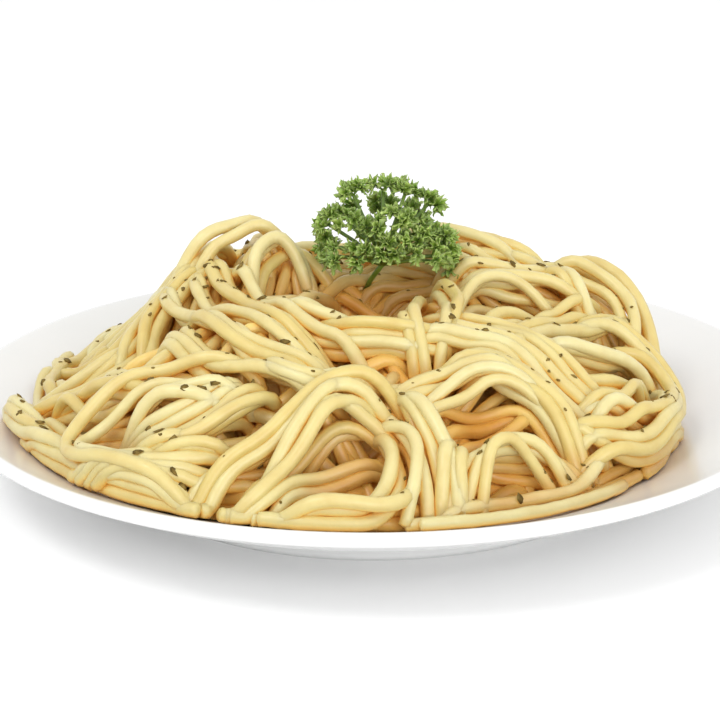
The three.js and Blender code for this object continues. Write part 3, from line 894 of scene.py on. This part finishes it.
def leaf(base, axis, length, rng, first):
    """One frilled fan as a thin sheet with two faces: points, faces and each point's share of the way out."""
    across = np.cross([0.0, 0.0, 1.0], axis) + np.array([TINY, 0.0, 0.0])
    across /= np.linalg.norm(across)
    facing = np.cross(axis, across)
    roll = rng.uniform(-math.pi, math.pi)
    across, facing = (
        across * math.cos(roll) + facing * math.sin(roll),
        facing * math.cos(roll) - across * math.sin(roll),
    )
    out = np.linspace(LEAF_START, 1, LEAF_ROWS)[:, None]
    angle = np.linspace(-LEAF_SPREAD, LEAF_SPREAD, LEAF_COLUMNS)[None, :]
    lobes = LEAF_LOBES * math.pi * angle / LEAF_SPREAD
    teeth = LOBE_TEETH * lobes
    phase = rng.uniform(0, 2 * math.pi, 2)
    outline = 1 - LOBE_DEPTH + LOBE_DEPTH * np.cos(lobes) + TOOTH_DEPTH * np.cos(teeth)
    narrowing = 1 - LEAF_NARROWING + LEAF_NARROWING * np.cos(angle)
    reach = length * (out * (1 - out) * LEAF_BELLY + out**LOBE_POWER * outline) * narrowing
    ruffle = LEAF_RUFFLE * out**RUFFLE_POWER
    wave = np.sin(lobes + phase[0]) + TOOTH_RUFFLE * np.sin(teeth + phase[1])
    lift = ruffle * wave - LEAF_DROOP * length * out**2
    lean = TOOTH_LEAN * ruffle * np.cos(teeth + phase[1])
    flat = reach * np.cos(angle), reach * np.sin(angle) + lean
    sheet = base + flat[0][..., None] * axis + flat[1][..., None] * across + lift[..., None] * facing
    under = sheet - LEAF_THICKNESS * facing
    count = LEAF_ROWS * LEAF_COLUMNS
    faces = []
    for row in range(LEAF_ROWS - 1):
        for column in range(LEAF_COLUMNS - 1):
            start = first + row * LEAF_COLUMNS + column
            corners = (start, start + LEAF_COLUMNS, start + LEAF_COLUMNS + 1, start + 1)
            faces.append(corners)
            faces.append(tuple(corner + count for corner in reversed(corners)))
    rim = [row * LEAF_COLUMNS for row in range(LEAF_ROWS)]
    rim += [(LEAF_ROWS - 1) * LEAF_COLUMNS + column for column in range(1, LEAF_COLUMNS)]
    rim += [row * LEAF_COLUMNS + LEAF_COLUMNS - 1 for row in range(LEAF_ROWS - 2, -1, -1)]
    rim += list(range(LEAF_COLUMNS - 2, 0, -1))
    for here, following in zip(rim, rim[1:] + rim[:1]):
        faces.append((first + here, first + here + count, first + following + count, first + following))
    edge = np.broadcast_to(out, (LEAF_ROWS, LEAF_COLUMNS)).ravel()
    return np.vstack([sheet.reshape(-1, 3), under.reshape(-1, 3)]), faces, np.concatenate([edge, edge])


def around(heading, turn, opening):
    """A direction that opens away from the heading, at a turn round it."""
    level = np.cross(heading, OFF_AXIS)
    level /= np.linalg.norm(level)
    outward = level * math.cos(turn) + np.cross(level, heading) * math.sin(turn)
    return heading * math.cos(opening) + outward * math.sin(opening)


def parsley_piece():
    """A stem that forks into stalks, each with a spray of twigs that end in tufts of leaves."""
    rng = np.random.default_rng(PARSLEY_SEED)
    points, faces, edges = [], [], []
    total = 0

    def keep(new_points, new_faces, edge):
        nonlocal total
        points.append(new_points)
        faces.extend(new_faces)
        edges.append(edge)
        total += len(new_points)

    def keep_tube(line, radius):
        line = np.array(line)
        new_points, new_faces = tube(line, np.full(len(line), radius), STALK_SIDES, total)
        keep(new_points, new_faces, np.full(len(new_points), STALK_TONE))

    foot = np.array([*SPRIG_FOOT, float(heap_skin(*SPRIG_FOOT)) - STEM_DEPTH])
    hub = np.array(HUB)
    keep_tube([foot, (foot + hub) / 2 + np.array(STEM_BEND), hub], STEM_RADIUS)
    for spray, middle in enumerate(SPRAYS):
        tip = np.array(middle, float)
        heading = (tip - hub) / np.linalg.norm(tip - hub)
        tip = tip - heading * LEAF_LENGTH / 2
        keep_tube([hub, (hub + tip) / 2 + np.array(STALK_BEND), tip], STALK_RADIUS)
        for floret in range(SPRAY_FLORETS):
            turn = 2 * math.pi * floret / SPRAY_FLORETS + spray
            facing = around(heading, turn, SPRAY_LEAN)
            end = tip + around(heading, turn, LEAF_OPENING) * SPRAY_SPREAD
            keep_tube([tip, (tip + end) / 2, end], TWIG_RADIUS)
            for number in range(LEAVES):
                spin = 2 * math.pi * number / LEAVES + floret + rng.normal(0, LEAF_SPIN_SPREAD)
                axis = around(facing, spin, LEAF_OPENING * rng.uniform(*LEAF_OPENING_SHARES))
                keep(*leaf(end, axis, LEAF_LENGTH * rng.uniform(*LEAF_LENGTH_SHARES), rng, total))
    piece = add_mesh("curly_parsley", np.vstack(points), faces)
    # Each point's share of the way out of its leaf, or the stalks' tone, which the material turns into a
    # painted highlight towards the edge
    add_values(piece, "edge", np.concatenate(edges))
    return piece


# Materials


class Finish:
    """A material with one principled shader, and short ways to add what drives it."""

    def __init__(self, name, **sockets):
        self.material = bpy.data.materials.new(name)
        self.material.use_nodes = True
        self.nodes = self.material.node_tree.nodes
        self.links = self.material.node_tree.links
        self.shader = self.nodes["Principled BSDF"]
        for socket, value in sockets.items():
            self.shader.inputs[socket.replace("_", " ")].default_value = value

    def feed(self, socket, value):
        """Links another node's output to a socket, or sets the socket to a plain value."""
        if isinstance(value, bpy.types.NodeSocket):
            self.links.new(value, socket)
        else:
            socket.default_value = value

    def node(self, kind, inputs=None, **settings):
        made = self.nodes.new(kind)
        for key, value in settings.items():
            setattr(made, key, value)
        for socket, value in (inputs or {}).items():
            self.feed(made.inputs[socket], value)
        return made

    def noise(self, scale, detail=3.0):
        place = self.node("ShaderNodeTexCoord").outputs["Object"]
        inputs = {"Vector": place, "Scale": scale, "Detail": detail}
        return self.node("ShaderNodeTexNoise", inputs).outputs["Fac"]

    def value(self, name):
        return self.node("ShaderNodeAttribute", attribute_name=name).outputs["Fac"]

    def openness(self, distance):
        """0 deep in a gap, 1 out in the open."""
        made = self.node("ShaderNodeAmbientOcclusion", {"Distance": distance}, samples=GAP_RAYS)
        return made.outputs["AO"]

    def ramp(self, factor, *stops):
        made = self.node("ShaderNodeValToRGB", {"Fac": factor})
        elements = made.color_ramp.elements
        while len(elements) < len(stops):
            elements.new(0.5)
        for element, (position, colour) in zip(elements, stops):
            element.position = position
            element.color = (*colour, 1.0)
        return made.outputs["Color"]

    def blend(self, factor, first, second, mode="MIX"):
        made = self.node("ShaderNodeMix", data_type="RGBA", blend_type=mode)
        self.feed(made.inputs[MIX_FACTOR], factor)
        self.feed(made.inputs[MIX_FIRST], first)
        self.feed(made.inputs[MIX_SECOND], second)
        return made.outputs[MIX_RESULT]

    def span(self, factor, low, high):
        made = self.node("ShaderNodeMapRange", {"Value": factor, "To Min": low, "To Max": high})
        return made.outputs["Result"]

    def drive(self, socket, output):
        self.links.new(output, self.shader.inputs[socket])

    def bump(self, height, strength, distance):
        made = self.node("ShaderNodeBump", {"Height": height, "Strength": strength, "Distance": distance})
        self.drive("Normal", made.outputs["Normal"])


def pasta_finish():
    """Cream noodles with their own tints and faint patches, with painted shade: browner deep down,
    golden-brown in narrow gaps and a deeper golden on the inner noodles.
    """
    finish = Finish(
        "pasta",
        Subsurface_Weight=0.2,
        Subsurface_Scale=0.003,
        Subsurface_Radius=(1.0, 0.85, 0.6),
        Coat_Weight=0.3,
        Coat_Roughness=0.28,
    )
    # Painted shade: the inner noodles, which lie under the others, take a deeper golden; the outer ones vary
    # at random
    strand = finish.ramp(
        finish.value("tint"),
        (INNER_TINTS[0], (0.80, 0.58, 0.17)),
        (INNER_TINTS[1], (0.74, 0.57, 0.18)),
        (OUTER_TINTS[0], (0.62, 0.49, 0.165)),
        (OUTER_TINTS[1], (0.67, 0.60, 0.30)),
    )
    patches = finish.ramp(finish.noise(scale=160, detail=4.0), (0.3, (0.93, 0.88, 0.80)), (0.6, WHITE))
    coated = finish.blend(1.0, strand, patches, "MULTIPLY")
    # Painted shade: darker and browner the deeper a point lies under the heap's skin
    depth_shade = finish.ramp(finish.value("depth_shade"), (0.0, WHITE), (1.0, (0.88, 0.56, 0.29)))
    depth_shaded = finish.blend(1.0, coated, depth_shade, "MULTIPLY")
    # Painted shade: narrow gaps, where shade falls, turn golden-brown
    open_here = finish.openness(GAP_WIDTH)
    gap_shade_mask = finish.ramp(open_here, (0.1, WHITE), (0.5, BLACK))
    gap_shade_colour = finish.ramp(open_here, (0.05, (0.92, 0.50, 0.09)), (0.35, (0.95, 0.69, 0.20)))
    finish.drive("Base Color", finish.blend(gap_shade_mask, depth_shaded, gap_shade_colour))
    finish.drive("Roughness", finish.span(finish.noise(scale=500), low=0.35, high=0.6))
    finish.bump(finish.noise(scale=420), strength=0.25, distance=0.0006)
    return finish.material


def core_finish():
    finish = Finish(
        "packed_pasta_painted_shade",
        Roughness=0.5,
        Subsurface_Weight=0.2,
        Subsurface_Scale=0.003,
        Subsurface_Radius=(1.0, 0.5, 0.2),
    )
    # Painted shade: the core's golden-brown stands for the warm dark deep between the noodles
    colour = finish.ramp(finish.noise(scale=220), (0.35, (0.82, 0.48, 0.12)), (0.65, (0.90, 0.60, 0.19)))
    finish.drive("Base Color", colour)
    finish.bump(finish.noise(scale=300), strength=0.5, distance=0.001)
    return finish.material


def fleck_finish():
    finish = Finish("dried_herb", Roughness=0.8, Specular_IOR_Level=0.15)
    colour = finish.ramp(finish.noise(scale=700), (0.3, (0.10, 0.062, 0.013)), (0.7, (0.25, 0.17, 0.045)))
    finish.drive("Base Color", colour)
    finish.bump(finish.noise(scale=1500), strength=0.5, distance=0.0003)
    return finish.material


def parsley_finish():
    """Green that lightens from the twig to the leaf's edge, where the lighter edge is a painted highlight,
    with darker patches.
    """
    finish = Finish(
        "parsley_leaf",
        Roughness=0.42,
        Subsurface_Weight=0.2,
        Subsurface_Scale=0.001,
        Subsurface_Radius=(0.5, 1.0, 0.2),
    )
    # Painted highlight: the leaf lightens towards its frilled edge
    green_with_edge_highlight = finish.ramp(
        finish.value("edge"),
        (0.1, (0.12, 0.205, 0.02)),
        (0.6, (0.215, 0.335, 0.04)),
        (1.0, (0.42, 0.55, 0.15)),
    )
    patches = finish.ramp(finish.noise(scale=180), (0.35, (0.55, 0.6, 0.5)), (0.65, WHITE))
    finish.drive("Base Color", finish.blend(1.0, green_with_edge_highlight, patches, "MULTIPLY"))
    finish.bump(finish.noise(scale=900), strength=0.4, distance=0.0003)
    return finish.material


def porcelain_finish():
    finish = Finish("white_glaze", Coat_Weight=0.25, Coat_Roughness=0.08)
    colour = finish.ramp(finish.noise(scale=25), (0.3, (0.72, 0.725, 0.72)), (0.7, (0.75, 0.75, 0.745)))
    finish.drive("Base Color", colour)
    finish.drive("Roughness", finish.span(finish.noise(scale=60), low=0.2, high=0.3))
    return finish.material


def floor_finish():
    finish = Finish("pale_floor", Roughness=0.8)
    colour = finish.ramp(finish.noise(scale=4), (0.3, (0.93, 0.93, 0.93)), (0.7, (0.95, 0.95, 0.95)))
    finish.drive("Base Color", colour)
    return finish.material


# Stage


def add_light(name, place, size, power):
    light = bpy.data.lights.new(name, "AREA")
    light.shape = "DISK"
    light.size = size
    light.energy = power
    lamp = bpy.data.objects.new(name, light)
    lamp.location = place
    lamp.rotation_euler = (Vector(LIGHT_AIM) - Vector(place)).to_track_quat("-Z", "Y").to_euler()
    bpy.context.scene.collection.objects.link(lamp)


def add_stage():
    scene = bpy.context.scene
    scene.view_settings.view_transform = "Standard"
    corners = [(STAGE_HALF * x, STAGE_HALF * y, 0) for x, y in ((-1, -1), (1, -1), (1, 1), (-1, 1))]
    floor = add_mesh("floor", corners, [(0, 1, 2, 3)])
    floor.data.materials.append(floor_finish())
    world = bpy.data.worlds.new("studio")
    world.use_nodes = True
    sky = world.node_tree.nodes["Background"].inputs
    sky["Color"].default_value = (*WHITE, 1.0)
    sky["Strength"].default_value = SKY_STRENGTH
    scene.world = world
    for light in LIGHTS:
        add_light(*light)


def add_camera():
    camera = bpy.data.cameras.new("camera")
    camera.sensor_width = SENSOR_WIDTH
    camera.lens = SENSOR_WIDTH / 2 / math.tan(CAMERA_FIELD / 2)
    camera.shift_x = -(RIM_CENTRE_PIXEL[0] - PICTURE_SIDE / 2) / PICTURE_SIDE
    camera.shift_y = (RIM_CENTRE_PIXEL[1] - PICTURE_SIDE / 2) / PICTURE_SIDE
    eye = bpy.data.objects.new("camera", camera)
    back = CAMERA_DISTANCE * math.cos(CAMERA_ELEVATION)
    above = RIM_HEIGHT + CAMERA_DISTANCE * math.sin(CAMERA_ELEVATION)
    eye.location = (0, -back * MM, above * MM)
    eye.rotation_euler = (math.pi / 2 - CAMERA_ELEVATION, CAMERA_ROLL, 0)
    bpy.context.scene.collection.objects.link(eye)
    bpy.context.scene.camera = eye


def dress(piece, finish, node):
    piece.data.materials.append(finish)
    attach(piece, "root")
    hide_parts(node)


def main():
    add_stage()
    add_camera()
    pile, inner, outer = make_pile()
    dress(plate_piece(), porcelain_finish(), "plate")
    dress(core_piece(pile), core_finish(), "spaghetti")
    pasta = pasta_finish()
    dress(noodle_piece("inner_noodles", inner, INNER_SIDES, INNER_TINTS), pasta, "spaghetti")
    dress(noodle_piece("outer_noodles", outer, OUTER_SIDES, OUTER_TINTS), pasta, "spaghetti")
    dress(fleck_piece(pile), fleck_finish(), "spaghetti")
    dress(parsley_piece(), parsley_finish(), "parsley")


main()
